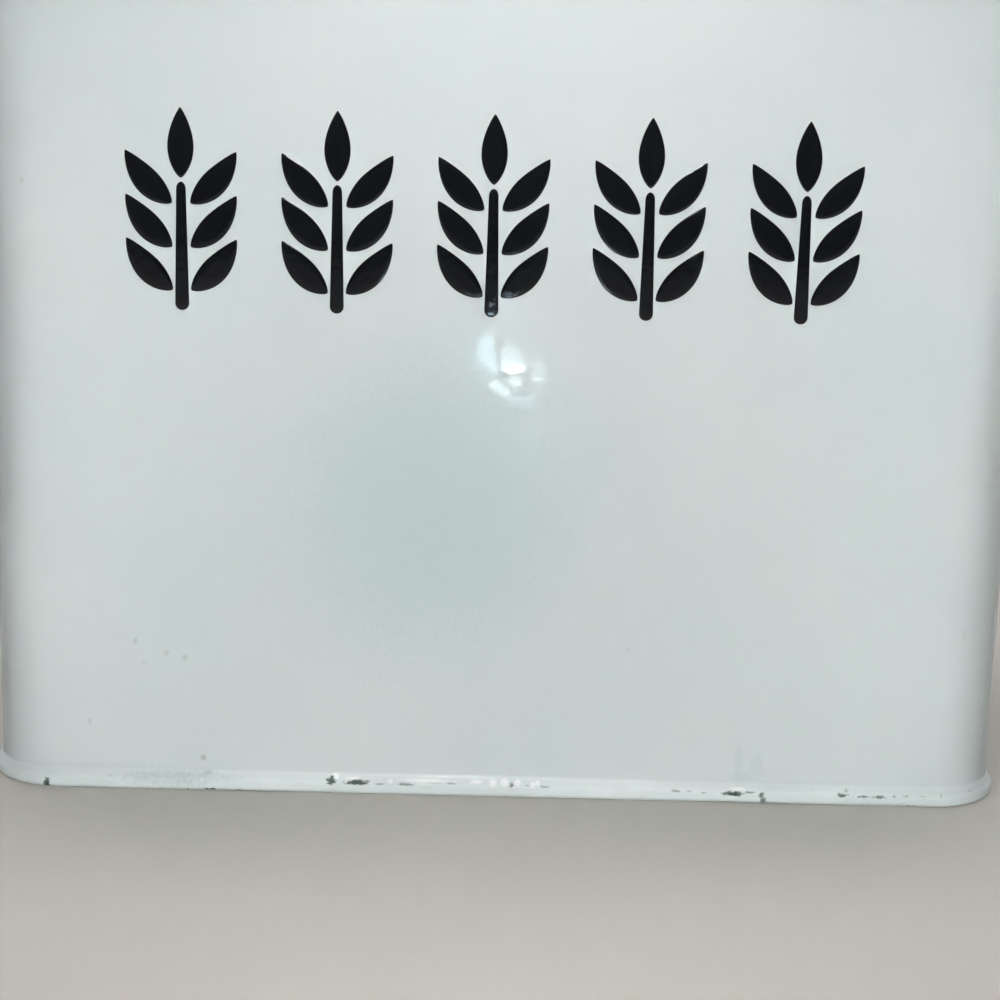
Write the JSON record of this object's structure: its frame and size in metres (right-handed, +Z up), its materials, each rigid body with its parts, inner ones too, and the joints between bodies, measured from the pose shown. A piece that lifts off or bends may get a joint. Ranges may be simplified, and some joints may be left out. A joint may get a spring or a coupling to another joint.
{
  "type": "bread bin",
  "caption": "Rectangular enamelled-steel bread bin with rounded corners, a folded bottom seam, a wired rim, side bow handles and a lift-off lid.",
  "frame": {"origin": "middle of the face that the bin stands on, at the bottom of its bounding box", "axes": "+Z up; the broad front faces -Y; +X along the width, with a bow handle at each end; the lid lifts along +Z"},
  "size_m": [0.384, 0.267, 0.3408],
  "materials": {
    "white_enamel": "glossy vitreous enamel, off-white",
    "black_enamel": "glossy vitreous enamel, black",
    "steel_wire": "plain drawn steel"
  },
  "bodies": {
    "bin": {"bin_wall": "white_enamel", "base_pan": "white_enamel", "rim_wire": "steel_wire", "left_handle": "black_enamel", "left_handle_rivet_1": "black_enamel", "left_handle_rivet_2": "black_enamel", "left_handle_rivet_3": "black_enamel", "left_handle_rivet_4": "black_enamel", "right_handle": "black_enamel", "right_handle_rivet_1": "black_enamel", "right_handle_rivet_2": "black_enamel", "right_handle_rivet_3": "black_enamel", "right_handle_rivet_4": "black_enamel"},
    "lid": {"lid_pressing": "white_enamel", "lid_edge_wire": "steel_wire", "lid_handle": "black_enamel", "lid_handle_rivet_1": "black_enamel", "lid_handle_rivet_2": "black_enamel", "lid_handle_rivet_3": "black_enamel", "lid_handle_rivet_4": "black_enamel"}
  },
  "joints": [
    {"name": "lid_lift", "type": "slide", "parent": "bin", "child": "lid", "axis": [0, 0, 1], "range_m": [0, 0.12]}
  ]
}
